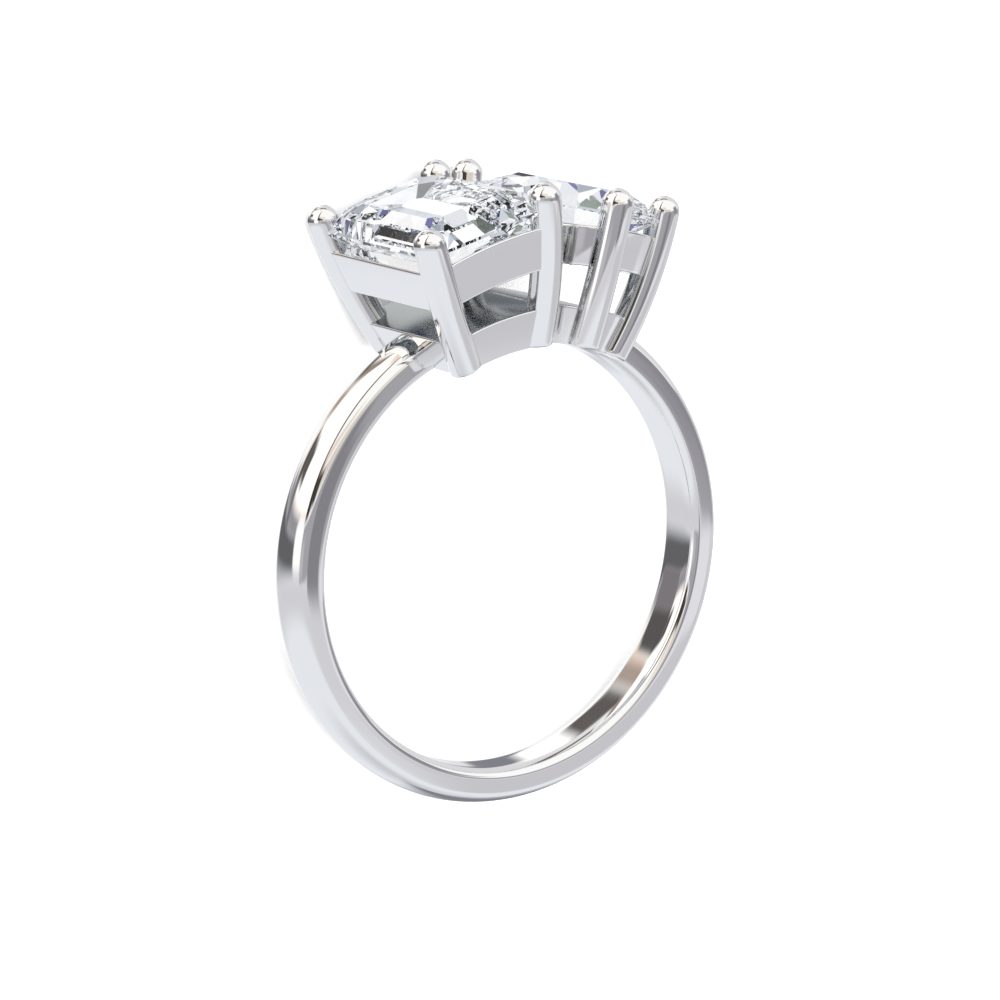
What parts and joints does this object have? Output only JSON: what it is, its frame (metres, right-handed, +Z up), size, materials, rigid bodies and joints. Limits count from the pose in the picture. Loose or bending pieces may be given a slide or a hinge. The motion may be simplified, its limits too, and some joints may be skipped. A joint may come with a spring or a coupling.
{
  "type": "toi et moi ring",
  "caption": "White metal ring with a step-cut stone and a pear-cut stone side by side, each held by ball-tipped prongs in its own basket of one rail over a solid plate.",
  "frame": {"origin": "centre of the finger hole, on its axis and midway between the shank's two flat sides", "axes": "the ring lies as it rests by itself on its back: +Z up, +Y from the finger hole towards the stones, +X across the ring towards the pear-cut stone"},
  "size_m": [0.02, 0.0253, 0.0092],
  "materials": {
    "white_gold": "high polish, rhodium white",
    "step_cut_diamond": "polished flat facets",
    "pear_cut_diamond": "polished flat facets"
  },
  "bodies": {
    "root": {"ring_mount": "white_gold", "emerald_stone": "step_cut_diamond", "pear_stone": "pear_cut_diamond"}
  },
  "joints": []
}
